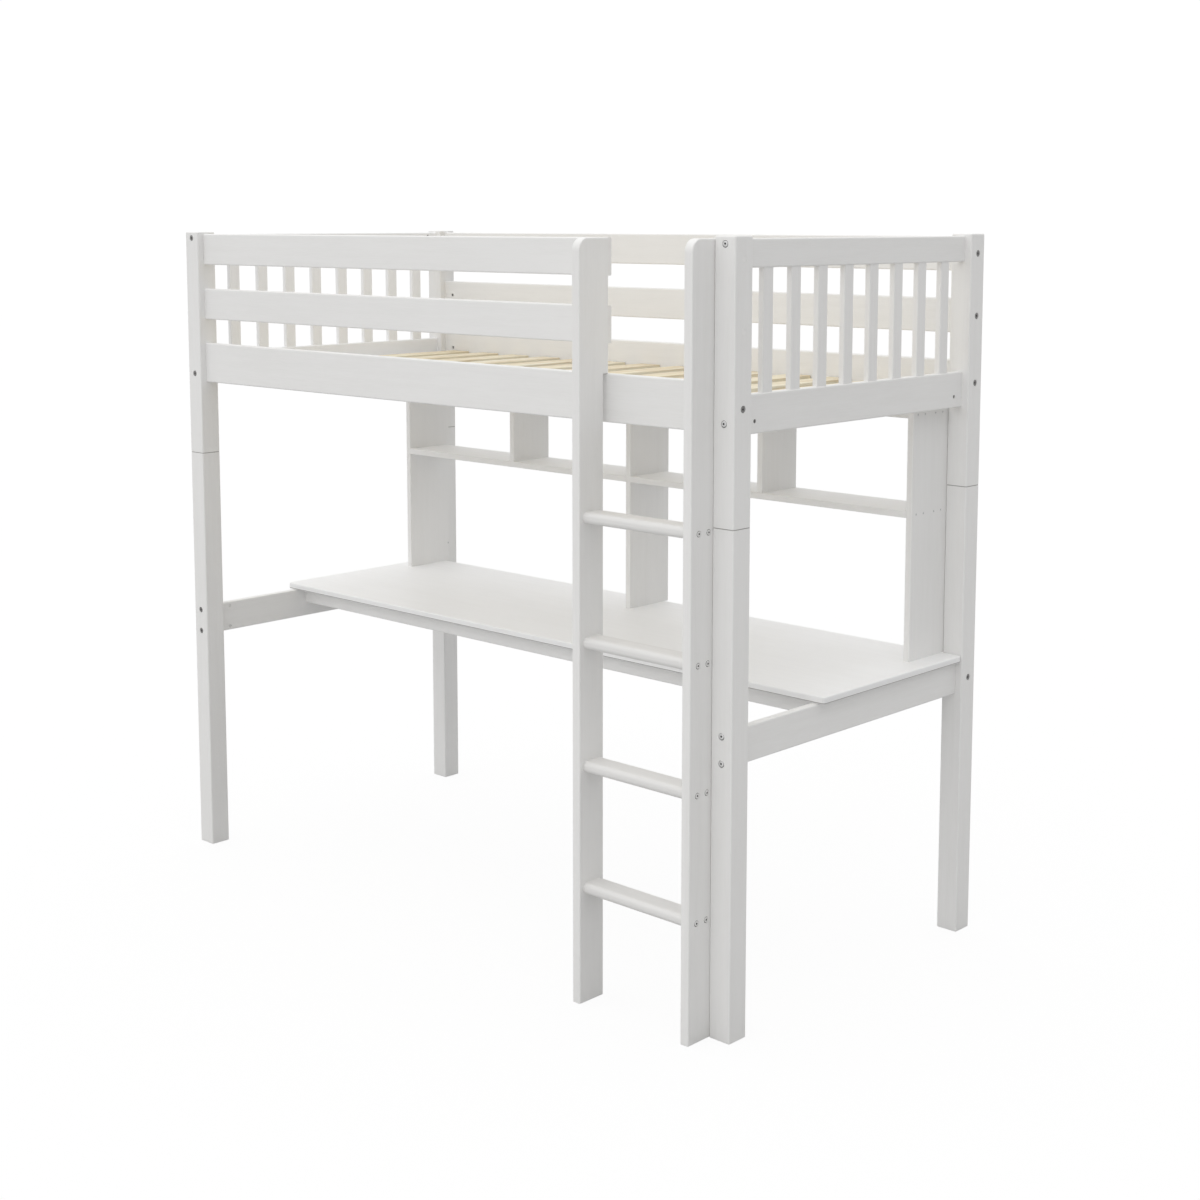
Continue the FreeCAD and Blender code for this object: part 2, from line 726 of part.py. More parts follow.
# ----------------------------------------------------------------- shelf unit
uprights = {}
for side_name in ("left", "mid", "right"):
    upright = keep(
        board(
            "shelf_upright_" + side_name,
            (side_name + "_upright_x", "upright_y", "desk_top"),
            ("shelf_board_thickness", "upright_depth", "upright_height"),
        )
    )
    dress_edges(upright, "Fillet", "shelf_edge_radius", runs_along(2))
    uprights[side_name] = upright
    for place in ("upright_y + dowel_inset / 2", "upright_y + 2 * dowel_inset"):
        point = (side_name + "_upright_x + shelf_board_thickness / 2", place, "0")
        drill(desktop, "top", point, "dowel_diameter", "dowel_short_end")
        drill(upright, "bottom", point, "dowel_diameter", "dowel_length - dowel_short_end")
        dowels.append((on_axis("top", point, "desk_top - dowel_short_end + dowel_length"), "top"))

for end_name in ("left", "right"):
    for height in ("desk_top + dowel_inset", "shelf_unit_top - dowel_inset"):
        point = ("0", "rear_inside + upright_past_post / 2", height)
        inner_face = "right" if end_name == "left" else "left"
        post = (legs if height.startswith("desk") else uppers)["rear", end_name]
        screw_joint(uprights[end_name], post, inner_face, point)

top_boards = []
dividers = []
shelves = {}
for span_name, span_x in (("left", "left_span_x"), ("right", "right_span_x")):
    shelf = keep(
        board(
            "shelf_board_" + span_name,
            (span_x, "upright_y", "shelf_bottom"),
            ("shelf_span", "shelf_depth", "shelf_board_thickness"),
        )
    )
    top_board = board(
        "shelf_top_board_" + span_name,
        (span_x, "upright_y", "top_board_bottom"),
        ("shelf_span", "shelf_depth", "shelf_board_thickness"),
    )
    for shelf_piece in (shelf, top_board):
        dress_edges(shelf_piece, "Fillet", "shelf_edge_radius", runs_along(0))
    divider_x = span_x + " + (shelf_span - shelf_board_thickness) / 2"
    divider = board(
        "shelf_divider_" + span_name,
        (divider_x, "upright_y", "shelf_top"),
        ("shelf_board_thickness", "shelf_depth", "compartment_height"),
    )
    dress_edges(divider, "Fillet", "shelf_edge_radius", runs_along(2))
    for along in ("upright_y + shelf_screw_inset", "upright_y + shelf_depth - shelf_screw_inset"):
        point = (divider_x + " + shelf_board_thickness / 2", along, "0")
        screw_joint(top_board, divider, "top", point)
        screw_joint(shelf, divider, "bottom", point)
    for height, shelf_piece in (("shelf_bottom", shelf), ("top_board_bottom", top_board)):
        for along in (
            "upright_y + shelf_screw_inset",
            "upright_y + shelf_screw_inset + shelf_screw_pair",
            "upright_y + shelf_depth - shelf_screw_inset - shelf_screw_pair",
            "upright_y + shelf_depth - shelf_screw_inset",
        ):
            point = ("0", along, height + " + shelf_board_thickness / 2")
            screw_joint(uprights[span_name], shelf_piece, span_name, point)
    shelves[span_name] = (shelf, top_board)
    top_boards.append(top_board)
    dividers.append(divider)

# dowels right through the middle upright hold the inner ends of both spans
dowel_reach = "(dowel_length - shelf_board_thickness) / 2"
for level, height in enumerate(("shelf_bottom", "top_board_bottom")):
    for along in ("upright_y + shelf_screw_inset", "upright_y + shelf_depth - shelf_screw_inset"):
        point = ("0", along, height + " + shelf_board_thickness / 2")
        drill(uprights["mid"], "right", point, "dowel_diameter", "shelf_board_thickness")
        drill(shelves["left"][level], "right", point, "dowel_diameter", dowel_reach)
        drill(shelves["right"][level], "left", point, "dowel_diameter", dowel_reach)
        dowels.append((("dowel_length / 2", along, point[2]), "right"))

for label, members in (("shelf_top_boards", top_boards), ("shelf_dividers", dividers)):
    group = doc.addObject("Part::Compound", label)
    group.Links = members
    keep(group)


# ----------------------------------------------------------------- fasteners
def turned_from(points):
    """A solid turned round the Z axis from an outline of (radius, height) points."""
    wire = Part.makePolygon([FreeCAD.Vector(radius, 0, height) for radius, height in points + points[:1]])
    return Part.Face(wire).revolve(FreeCAD.Vector(0, 0, 0), FreeCAD.Vector(0, 0, 1), 360)


def hexagon(width, depth):
    """A hexagonal key socket, open at the top, from the plane of the head down."""
    radius = width / 3**0.5
    corner = FreeCAD.Vector(radius, 0, 0)
    wire = Part.makePolygon([FreeCAD.Rotation(60 * turn, 0, 0).multVec(corner) for turn in range(7)])
    return Part.Face(wire).extrude(FreeCAD.Vector(0, 0, -depth))


def headed(length, diameter, head_diameter, head_height, key_width, key_depth):
    """A bolt or screw that points down, with the top of its head at the origin."""
    shank, head, ease = diameter / 2, head_diameter / 2, head_height / 4
    outline = [
        (0, 0),
        (head - ease, 0),
        (head, -ease),
        (head, -head_height),
        (shank, -head_height),
        (shank, ease - length),
        (shank - ease, -length),
        (0, -length),
    ]
    return turned_from(outline).cut(hexagon(key_width, key_depth))


def pin(length, diameter, ease, top=0):
    """A plain pin along Z, from its top down, with both ends eased."""
    radius = diameter / 2
    end = top - length
    outline = [
        (0, top),
        (radius - ease, top),
        (radius, top - ease),
        (radius, end + ease),
        (radius - ease, end),
        (0, end),
    ]
    return turned_from(outline)


def placed(shape, point, face):
    """A copy of the shape with its origin at the point and its head towards a face."""
    outward = FreeCAD.Vector(*FACES[face][3])
    copy = shape.copy()
    spin = FreeCAD.Rotation(FreeCAD.Vector(0, 0, 1), outward)
    copy.Placement = FreeCAD.Placement(FreeCAD.Vector(*[value(text) for text in point]), spin)
    return copy


def fasteners(label, shapes):
    """One node of identical, separate fasteners."""
    feature = doc.addObject("Part::Feature", label)
    feature.Shape = Part.makeCompound(shapes)
    keep(feature)


bolt_reach = "nut_distance + bolt_past_nut - bolt_diameter / 2"
bolt = headed(
    value("post_side - counterbore_depth + bolt_head_height + " + bolt_reach),
    value("bolt_diameter"),
    value("bolt_head_diameter"),
    value("bolt_head_height"),
    value("hex_width"),
    value("hex_depth"),
)
fasteners("frame_bolts", [placed(bolt, point, face) for point, face in bolts])

nut_length = value("nut_length")
plain_nut = pin(nut_length, value("nut_diameter"), 0.5, nut_length / 2)
cross_hole = Part.makeCylinder(value("bolt_diameter") / 2, 2 * nut_length, FreeCAD.Vector(0, 0, -nut_length))
nut_shapes = []
for point, nut_face, bolt_face in nuts:
    nut_shapes.append(placed(plain_nut, point, nut_face).cut(placed(cross_hole, point, bolt_face)))
fasteners("barrel_nuts", nut_shapes)

rung_screw = headed(
    value("rung_screw_length"),
    value("rung_screw_diameter"),
    value("rung_screw_head"),
    value("rung_screw_head_height"),
    value("hex_width"),
    value("hex_depth"),
)
fasteners("ladder_screws", [placed(rung_screw, point, face) for point, face in rung_screws])

small_screw = headed(
    value("screw_length"),
    value("screw_diameter"),
    value("screw_head_diameter"),
    value("screw_head_height"),
    value("screw_hex_width"),
    value("screw_head_height") / 2,
)
fasteners("wood_screws", [placed(small_screw, point, face) for point, face in screws])

wood_dowel = pin(value("dowel_length"), value("dowel_diameter"), 1)
fasteners("wood_dowels", [placed(wood_dowel, point, face) for point, face in dowels])

post_dowel = pin(value("post_dowel_length"), value("post_dowel_diameter"), 2)
fasteners("post_dowels", [placed(post_dowel, point, face) for point, face in post_dowels])

plug = pin(value("counterbore_depth"), value("counterbore_diameter"), 0.6)
small_plug = pin(value("spare_plug_length"), value("spare_plug_diameter"), 0.4)
plug_shapes = [placed(plug, point, face) for point, face in plugs]
plug_shapes += [placed(small_plug, point, face) for point, face in spare_plugs]
fasteners("hole_plugs", plug_shapes)

# --------------------------------------------------------- checks and export
doc.recompute()
for thing in doc.Objects:
    if "Invalid" in thing.State or "Error" in thing.State:
        raise RuntimeError("%s failed: %s" % (thing.Name, thing.State))
for cut in cuts:
    before = cut.BaseFeature.Shape.Volume
    if cut.Shape.Volume > before - 1e-3:
        raise RuntimeError("%s cuts nothing" % cut.Name)
for node in nodes:
    if node.Shape.isNull() or not node.Shape.isValid():
        raise RuntimeError("%s has no valid shape" % node.Label)

os.makedirs("parts", exist_ok=True)
for node in nodes:
    node.Shape.exportStep(os.path.join("parts", node.Label + ".step"))
whole = Part.makeCompound([node.Shape for node in nodes]).BoundBox
print("nodes", len(nodes))
print("box X %.2f %.2f" % (whole.XMin, whole.XMax))
print("box Y %.2f %.2f" % (whole.YMin, whole.YMax))
print("box Z %.2f %.2f" % (whole.ZMin, whole.ZMax))
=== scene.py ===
import math

import bmesh
import bpy
from mathutils import Matrix, Vector


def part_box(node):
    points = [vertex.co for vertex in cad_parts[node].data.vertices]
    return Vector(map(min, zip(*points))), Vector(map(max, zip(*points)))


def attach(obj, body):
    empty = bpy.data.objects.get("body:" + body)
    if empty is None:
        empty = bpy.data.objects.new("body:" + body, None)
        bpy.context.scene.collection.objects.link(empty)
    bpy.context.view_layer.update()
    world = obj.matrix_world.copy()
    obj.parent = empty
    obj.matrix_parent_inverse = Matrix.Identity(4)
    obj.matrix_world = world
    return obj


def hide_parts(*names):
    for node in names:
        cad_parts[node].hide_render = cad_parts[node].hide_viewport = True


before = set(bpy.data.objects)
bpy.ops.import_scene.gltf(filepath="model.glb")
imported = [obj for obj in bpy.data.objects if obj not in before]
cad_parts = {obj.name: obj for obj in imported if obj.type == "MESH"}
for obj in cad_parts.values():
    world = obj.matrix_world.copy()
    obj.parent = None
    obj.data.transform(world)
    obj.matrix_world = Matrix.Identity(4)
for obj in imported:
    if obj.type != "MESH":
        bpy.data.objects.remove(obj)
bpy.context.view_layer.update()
scene = bpy.context.scene


# -------------------------------------------------------------------- camera
def stand_camera():
    """A camera on the ladder side, off the right end, level with the post tops."""
    data = bpy.data.cameras.new("camera")
    data.sensor_width = 36.0
    data.lens = 56.062
    data.shift_y = -0.13
    data.clip_start = 0.1
    data.clip_end = 60.0
    camera = bpy.data.objects.new("camera", data)
    scene.collection.objects.link(camera)
    camera.location = (3.6666, -3.6676, 1.8906)
    camera.rotation_euler = (math.radians(83.188), 0.0, math.radians(43.426))
    scene.camera = camera


# -------------------------------------------------------- node-tree shorthand
def blank_finish(name, roughness, metallic=0.0):
    """A new material, with its node tree and its main shader."""
    material = bpy.data.materials.new(name)
    material.use_nodes = True
    shader = material.node_tree.nodes["Principled BSDF"]
    shader.inputs["Roughness"].default_value = roughness
    shader.inputs["Metallic"].default_value = metallic
    return material, material.node_tree, shader


def feed(tree, source, socket):
    """A link from another node, or a plain number, into a socket."""
    if isinstance(source, (int, float)):
        socket.default_value = source
    else:
        tree.links.new(source, socket)


def maths(tree, operation, first, second=0.0):
    """One step of arithmetic on two sockets or plain numbers."""
    node = tree.nodes.new("ShaderNodeMath")
    node.operation = operation
    feed(tree, first, node.inputs[0])
    feed(tree, second, node.inputs[1])
    return node.outputs["Value"]


def added(tree, base, extra, weight):
    """The base with a weighted share of the extra on top."""
    return maths(tree, "ADD", base, maths(tree, "MULTIPLY", extra, weight))


def blended(tree, first, second, weight):
    """The first by its weight and the second by what is left of one."""
    share = maths(tree, "MULTIPLY", first, weight)
    return added(tree, share, second, 1.0 - weight)


def rescaled(tree, source, low, high, to_low=0.0, to_high=1.0):
    """The value taken from one range to another, and held inside it."""
    node = tree.nodes.new("ShaderNodeMapRange")
    feed(tree, source, node.inputs["Value"])
    ends = {"From Min": low, "From Max": high, "To Min": to_low, "To Max": to_high}
    for socket, number in ends.items():
        node.inputs[socket].default_value = number
    return node.outputs["Result"]


def between(tree, share, first, second):
    """A colour that goes from the first to the second as the share goes from 0 to 1."""
    node = tree.nodes.new("ShaderNodeMix")
    node.data_type = "RGBA"
    feed(tree, share, node.inputs["Factor"])
    for socket, colour in ((node.inputs[6], first), (node.inputs[7], second)):
        if isinstance(colour, tuple):
            socket.default_value = (*colour, 1.0)
        else:
            tree.links.new(colour, socket)
    return node.outputs[2]


def object_place(tree):
    """Where a point lies on the node or piece itself."""
    return tree.nodes.new("ShaderNodeTexCoord").outputs["Object"]


def along_grain(tree, direction, stretch):
    """Object coordinates, drawn out the way that the wood runs."""
    node = tree.nodes.new("ShaderNodeMapping")
    scale = [1.0, 1.0, 1.0]
    scale["XYZ".index(direction)] = 1.0 / stretch
    node.inputs["Scale"].default_value = scale
    tree.links.new(object_place(tree), node.inputs["Vector"])
    return node.outputs["Vector"]


def noise(tree, place, scale, detail=2.0, roughness=0.5):
    node = tree.nodes.new("ShaderNodeTexNoise")
    node.inputs["Scale"].default_value = scale
    node.inputs["Detail"].default_value = detail
    node.inputs["Roughness"].default_value = roughness
    tree.links.new(place, node.inputs["Vector"])
    return node.outputs["Fac"]


def relief(tree, shader, height, strength, distance):
    node = tree.nodes.new("ShaderNodeBump")
    node.inputs["Strength"].default_value = strength
    node.inputs["Distance"].default_value = distance
    tree.links.new(height, node.inputs["Height"])
    tree.links.new(node.outputs["Normal"], shader.inputs["Normal"])


# ------------------------------------------------------------------- finishes
PAINT = (0.868, 0.863, 0.852)
PAINT_IN_PORES = (0.838, 0.832, 0.819)
# A lighter, cooler copy of the paint for the desk boards: painted fill light against the shade of the deck
# above.
LIT_DESK_PAINT = (0.905, 0.905, 0.905)
LIT_DESK_PAINT_IN_PORES = (0.88, 0.879, 0.876)
# A lighter copy of the paint for the head panel: painted light.
LIT_PANEL_PAINT = (0.93, 0.932, 0.936)
LIT_PANEL_PAINT_IN_PORES = (0.905, 0.906, 0.908)
# A darker copy of the paint for the ladder rungs: painted shade that tones down the light on their tops.
SHADED_RUNG_PAINT = (0.81, 0.802, 0.788)
SHADED_RUNG_PAINT_IN_PORES = (0.78, 0.771, 0.756)
# The dark line's colour: a dark joint line on the posts, and painted shade under the desktop's arris.
JOINT_LINE_AND_ARRIS_SHADE = (0.4, 0.393, 0.38)
DARK_LINE_REACH = 0.0014
# How far above the desktop's underside the painted arris shade lies.
DESK_ARRIS_SHADE_RISE = 0.0032
PINE_EARLY = (0.8, 0.72, 0.53)
PINE_LATE = (0.68, 0.545, 0.35)
PINE_PALE = (0.81, 0.765, 0.63)
LATE_WOOD_SHARE = 0.62
BEECH = (0.62, 0.42, 0.26)
BEECH_FLECK = (0.48, 0.29, 0.16)
ZINC = (0.82, 0.82, 0.82)
ZINC_DULL = (0.72, 0.72, 0.715)
# Dark steel: partly the steel's own burnished tone, partly painted shade on the bolts and nuts that it
# covers.
BURNISHED_AND_SHADED = (0.36, 0.355, 0.35)
BURNISHED_AND_SHADED_DULL = (0.27, 0.265, 0.26)
# Near black for key sockets, head sides and the rings under the heads: painted shade in the recesses.
SOCKET_SHADE = (0.05, 0.05, 0.048)
SOCKET_SHADE_SOFT = (0.09, 0.088, 0.085)
LACQUER = (0.82, 0.815, 0.8)
CAP_WHITE = (0.87, 0.86, 0.845)


def satin_paint(name, direction, pores=PAINT_IN_PORES, plain=PAINT, dark_line_height=None):
    """Satin white paint over pine, with faint lines and relief from the grain below.

    A dark line is drawn at the given height: on the posts it is the joint between leg and post, and on the
    desk it is painted shade under the desktop's rounded arris.
    """
    material, tree, shader = blank_finish(name, 0.45)
    grain = along_grain(tree, direction, stretch=18.0)
    fibres = noise(tree, grain, scale=420.0, detail=3.0, roughness=0.6)
    rings = noise(tree, grain, scale=60.0)
    drift = noise(tree, object_place(tree), scale=3.0)
    brushed = blended(tree, fibres, rings, weight=0.5)
    tone = blended(tree, brushed, drift, weight=0.7)
    share = rescaled(tree, tone, 0.36, 0.56)
    colour = between(tree, share, pores, plain)
    # A thin dark band at one height: the joint line on the posts, painted shade on the desk.
    if dark_line_height is not None:
        split = tree.nodes.new("ShaderNodeSeparateXYZ")
        tree.links.new(object_place(tree), split.inputs["Vector"])
        off_dark_line = maths(tree, "ABSOLUTE", maths(tree, "SUBTRACT", split.outputs["Z"], dark_line_height))
        clear = rescaled(tree, off_dark_line, DARK_LINE_REACH / 2, DARK_LINE_REACH)
        colour = between(tree, clear, JOINT_LINE_AND_ARRIS_SHADE, colour)
    tree.links.new(colour, shader.inputs["Base Color"])
    sheen = rescaled(tree, fibres, 0.3, 0.7, to_low=0.54, to_high=0.38)
    tree.links.new(sheen, shader.inputs["Roughness"])
    orange_peel = noise(tree, object_place(tree), scale=700.0)
    height = added(tree, brushed, orange_peel, weight=0.15)
    relief(tree, shader, height, strength=0.25, distance=0.0005)
    return material


def bare_pine(direction):
    """Planed pale pine: soft early wood between narrow, darker late-wood lines."""
    material, tree, shader = blank_finish("bare_pine_grain_" + direction.lower(), 0.6)
    grain = along_grain(tree, direction, stretch=14.0)
    wander = noise(tree, grain, scale=9.0)
    rings = tree.nodes.new("ShaderNodeTexWave")
    rings.wave_type = "BANDS"
    rings.bands_direction = "Z" if direction != "Z" else "X"
    rings.inputs["Scale"].default_value = 22.0
    rings.inputs["Distortion"].default_value = 9.0
    rings.inputs["Detail"].default_value = 2.0
    rings.inputs["Detail Scale"].default_value = 1.4
    tree.links.new(grain, rings.inputs["Vector"])
    late = rescaled(tree, rings.outputs["Fac"], 0.55, 1.0, to_high=LATE_WOOD_SHARE)
    fibres = noise(tree, grain, scale=520.0, detail=3.0, roughness=0.65)
    tint = between(tree, rescaled(tree, wander, 0.35, 0.65), PINE_EARLY, PINE_PALE)
    ringed = between(tree, late, tint, PINE_LATE)
    pores = rescaled(tree, fibres, 0.5, 0.75, to_high=0.35)
    tree.links.new(between(tree, pores, ringed, PINE_LATE), shader.inputs["Base Color"])
    sheen = rescaled(tree, late, 0.0, LATE_WOOD_SHARE, to_low=0.66, to_high=0.48)
    tree.links.new(sheen, shader.inputs["Roughness"])
    height = added(tree, fibres, late, weight=0.5)
    relief(tree, shader, height, strength=0.35, distance=0.0006)
    return material


def turned_beech():
    """Plain dowel wood with short, dark flecks."""
    material, tree, shader = blank_finish("turned_beech", 0.6)
    flecks = noise(tree, object_place(tree), scale=900.0, roughness=0.7)
    share = rescaled(tree, flecks, 0.52, 0.7, to_high=0.8)
    tree.links.new(between(tree, share, BEECH, BEECH_FLECK), shader.inputs["Base Color"])
    relief(tree, shader, flecks, strength=0.3, distance=0.0003)
    return material


def bare_metal(name, roughness, metallic, dull, bright):
    """Plated or burnished steel, or the near black of painted shade in sockets, with a fine, slightly uneven
    sheen.
    """
    material, tree, shader = blank_finish(name, roughness, metallic)
    bloom = noise(tree, object_place(tree), scale=600.0, detail=3.0)
    share = rescaled(tree, bloom, 0.35, 0.65)
    tree.links.new(between(tree, share, dull, bright), shader.inputs["Base Color"])
    sheen = rescaled(tree, bloom, 0.3, 0.7, roughness + 0.08, roughness - 0.06)
    tree.links.new(sheen, shader.inputs["Roughness"])
    relief(tree, shader, bloom, strength=0.15, distance=0.0001)
    return material


def speckled_white(name, roughness, grain_scale, colours):
    """A smooth white with a fine speckle, for lacquer and for moulded plastic."""
    material, tree, shader = blank_finish(name, roughness)
    speckle = noise(tree, object_place(tree), scale=grain_scale)
    share = rescaled(tree, speckle, 0.3, 0.7)
    tree.links.new(between(tree, share, *colours), shader.inputs["Base Color"])
    relief(tree, shader, speckle, strength=0.2, distance=0.0002)
    return material


RUNS_UP = ("lower_leg", "upper_post", "ladder_stile", "shelf_upright", "shelf_dividers", "_panel_slats")
RUNS_BACK = ("head_low", "head_top", "foot_low", "foot_top", "desk_side_rail")


def grain_direction(name):
    """The way that the wood of a painted node runs."""
    if any(part in name for part in RUNS_UP):
        return "Z"
    if any(part in name for part in RUNS_BACK):
        return "Y"
    return "X"


def paint_the_wood():
    """A finish for every wooden node. The hardware takes its own when it is fitted."""
    joint = face_of("upper_post_front_left", "down")
    # The desk's dark line is painted shade under the desktop's rounded arris.
    desk_arris_shade_height = face_of("desktop", "down") + DESK_ARRIS_SHADE_RISE
    paint = {way: satin_paint("satin_paint_grain_" + way.lower(), way) for way in "XYZ"}
    post_paint = satin_paint("post_paint", "Z", dark_line_height=joint)
    # The desk boards take the lighter copy of the paint, painted fill light, with a line of painted shade
    # under the desktop's arris.
    lit_desk_paint_with_arris_shade = satin_paint("lit_desk_paint_with_arris_shade", "X", LIT_DESK_PAINT_IN_PORES, LIT_DESK_PAINT, desk_arris_shade_height)
    # The rungs take the darker copy of the paint: painted shade.
    shaded_rung_paint = satin_paint("shaded_rung_paint", "X", SHADED_RUNG_PAINT_IN_PORES, SHADED_RUNG_PAINT)
    # The head panel takes the lighter copy of the paint: painted light.
    lit_panel_paint = {
        way: satin_paint("lit_head_panel_paint_" + way.lower(), way, LIT_PANEL_PAINT_IN_PORES, LIT_PANEL_PAINT)
        for way in "YZ"
    }
    slat_pine = bare_pine("Y")
    cleat_pine = bare_pine("X")
    beech = turned_beech()
    for name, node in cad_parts.items():
        if name.startswith("bed_slat_"):
            finish = slat_pine
        elif name == "slat_cleats":
            finish = cleat_pine
        elif name.endswith("_dowels"):
            finish = beech
        elif name.startswith(("lower_leg_", "upper_post_")):
            finish = post_paint
        elif name == "desktop":
            finish = lit_desk_paint_with_arris_shade
        elif name.startswith("ladder_rung_"):
            finish = shaded_rung_paint
        elif name.startswith("head_"):
            finish = lit_panel_paint[grain_direction(name)]
        else:
            finish = paint[grain_direction(name)]
        node.data.materials.clear()
        node.data.materials.append(finish)


# --------------------------------------------------------- sizes, in metres
MM = 0.001
HEAD_BELOW_FACE = 0.5 * MM
HEAD_SLACK = 0.8 * MM
BOLT_HEAD_SHIFT = Vector((-1.0, 0.0, 0.6)) * HEAD_SLACK
# Heads for the lit and the shaded copies of the frame bolt; the dark finish on the shaded copy is painted
# shade.
LIT_SIDE_BOLT_HEAD = (14.4 * MM, 3.5 * MM)
SHADED_SIDE_BOLT_HEAD = (16.0 * MM, 3.5 * MM)
BOLT_SHANK = (6.0 * MM, 102.5 * MM)
BOLT_SOCKET = (4.6 * MM, 6.0 * MM)
BOLT_SHADE_RING = 16.6 * MM
BOLT_EASE = 0.18 * MM
NUT = (10.0 * MM, 16.0 * MM)
NUT_FROM_END = 36.0 * MM
NUT_SLOT = (1.6 * MM, 2.4 * MM)
NUT_EASE = 0.25 * MM
LADDER_HEAD = (12.6 * MM, 3.0 * MM)
LADDER_SHANK = (6.0 * MM, 55.0 * MM)
LADDER_SHADE_RING = 14.6 * MM
LADDER_SOCKET = (4.6 * MM, 5.0 * MM)
LADDER_EASE = 0.15 * MM
# Sizes of the dark ring under each head, a painted shadow in the gap round it.
SHADE_RING_THICKNESS = 0.6 * MM
SHADE_RING_DEPTH = 1.8 * MM
SHADE_RING_HOLE = 0.7
SHADE_RING_EASE = 0.2 * SHADE_RING_THICKNESS
# The head's top keeps its finish down to this depth and slope; below, the head is painted shade.
UNSHADED_TOP_DEPTH = 1.2 * MM
UNSHADED_TOP_SLOPE = 0.3
TIP_TAPER = 0.6
RECESS_TAPER = 0.45
TURN_BETWEEN_HEADS = math.radians(37.0)
SCREW_HEAD = (8.0 * MM, 3.0 * MM)
SCREW_SHANK = (4.0 * MM, 39.0 * MM)
CROSS = (4.6 * MM, 1.1 * MM, 1.6 * MM)
LARGE_CAP = (17.0 * MM, 4.0 * MM)
SMALL_CAP = (8.0 * MM, 12.0 * MM)

# A head's crown falls away in three steps: shares of the slope's width and of the crown's height.
CROWN_STEPS = ((0.35, 0.62), (0.3, 0.28), (0.35, 0.1))
# A cap's face is dished in three steps: shares of the cap's width, inwards and down.
DISH_STEPS = ((0.07, 0.0), (0.05, -0.012), (0.12, -0.006))
CAP_RIM_EASE = 0.03


# ----------------------------------------------------------- hand-work helpers
def only(piece):
    """This piece alone is selected, and active."""
    bpy.ops.object.select_all(action="DESELECT")
    piece.select_set(True)
    bpy.context.view_layer.objects.active = piece


def open_up(piece):
    """Edit mode on this piece, with nothing in it selected."""
    only(piece)
    bpy.ops.object.mode_set(mode="EDIT")
    bpy.ops.mesh.select_mode(type="FACE")
    bpy.ops.mesh.select_all(action="DESELECT")


def close_up():
    bpy.ops.object.mode_set(mode="OBJECT")


def take_faces(piece, wanted):
    """In edit mode, selects the faces that pass the test, and no others."""
    bpy.ops.mesh.select_all(action="DESELECT")
    mesh = bmesh.from_edit_mesh(piece.data)
    for face in mesh.faces:
        face.select_set(wanted(face))
    bmesh.update_edit_mesh(piece.data)


LEVEL_SLACK = 1e-6
CENTRE_SLACK = 1e-5
SQUARE_ON = 0.99
SMOOTH_BELOW = math.radians(35.0)


def is_end_cap(height, facing):
    """A test for the flat face at this height that looks up (1) or down (-1)."""

    def test(face):
        middle = face.calc_center_median()
        level = abs(middle.z - height) < LEVEL_SLACK
        return level and face.normal.z * facing > SQUARE_ON and middle.xy.length < CENTRE_SLACK

    return test


def draw_out(distance):
    bpy.ops.mesh.extrude_region_move(TRANSFORM_OT_translate={"value": (0.0, 0.0, distance)})


def widen(share):
    bpy.ops.transform.resize(value=(share, share, 1.0))


def cut_away(piece, cutter):
    """Takes the cutter's shape out of the piece, and the cutter away."""
    only(piece)
    step = piece.modifiers.new("cut", "BOOLEAN")
    step.object = cutter
    step.operation = "DIFFERENCE"
    step.solver = "EXACT"
    bpy.ops.object.modifier_apply(modifier="cut")
    bpy.data.objects.remove(cutter)


def ease_edges(piece, width, segments=2, angle=40.0):
    """Rounds the sharp edges a little and smooths what is round."""
    only(piece)
    step = piece.modifiers.new("ease", "BEVEL")
    step.width = width
    step.segments = segments
    step.limit_method = "ANGLE"
    step.angle_limit = math.radians(angle)
    bpy.ops.object.modifier_apply(modifier="ease")
    bpy.ops.object.shade_smooth_by_angle(angle=SMOOTH_BELOW)


def settle(piece, name):
    """The piece's place goes into its mesh, and its object to the origin."""
    only(piece)
    piece.name = name
    bpy.ops.object.transform_apply(location=True, rotation=True, scale=True)


def hex_key(across_flats, depth):
    """A six-sided cutter for a key socket, with its middle on the head's top."""
    radius = across_flats / math.sqrt(3.0)
    bpy.ops.mesh.primitive_cylinder_add(vertices=6, radius=radius, depth=2.0 * depth)
    return bpy.context.object


def key_bar(length, width, depth, turn):
    """A cutter for one arm of a cross recess, narrower at its bottom."""
    bpy.ops.mesh.primitive_cube_add(size=1.0, rotation=(0.0, 0.0, turn))
    bar = bpy.context.object
    bar.scale = (length, width, 2.0 * depth)
    settle(bar, "key_bar")
    open_up(bar)
    take_faces(bar, is_end_cap(-depth, -1))
    widen(RECESS_TAPER)
    close_up()
    return bar


def headed_shape(name, head, shank, flat_share, crown, sides):
    """A bolt or screw that points down, its head crowned and its top at the origin."""
    head_width, head_height = head
    shank_width, length = shank
    bpy.ops.mesh.primitive_cylinder_add(
        vertices=sides, radius=head_width / 2, depth=head_height, location=(0.0, 0.0, -head_height / 2)
    )
    piece = bpy.context.object
    settle(piece, name)
    open_up(piece)
    take_faces(piece, is_end_cap(-head_height, -1))
    bpy.ops.mesh.inset(thickness=(head_width - shank_width) / 2)
    tip = shank_width / 4
    draw_out(head_height - length + tip)
    draw_out(-tip)
    widen(TIP_TAPER)
    take_faces(piece, is_end_cap(0.0, 1))
    bpy.ops.transform.translate(value=(0.0, 0.0, -crown))
    slope = head_width / 2 * (1.0 - flat_share)
    for inwards, down in CROWN_STEPS:
        bpy.ops.mesh.inset(thickness=slope * inwards, depth=crown * down)
    close_up()
    return piece


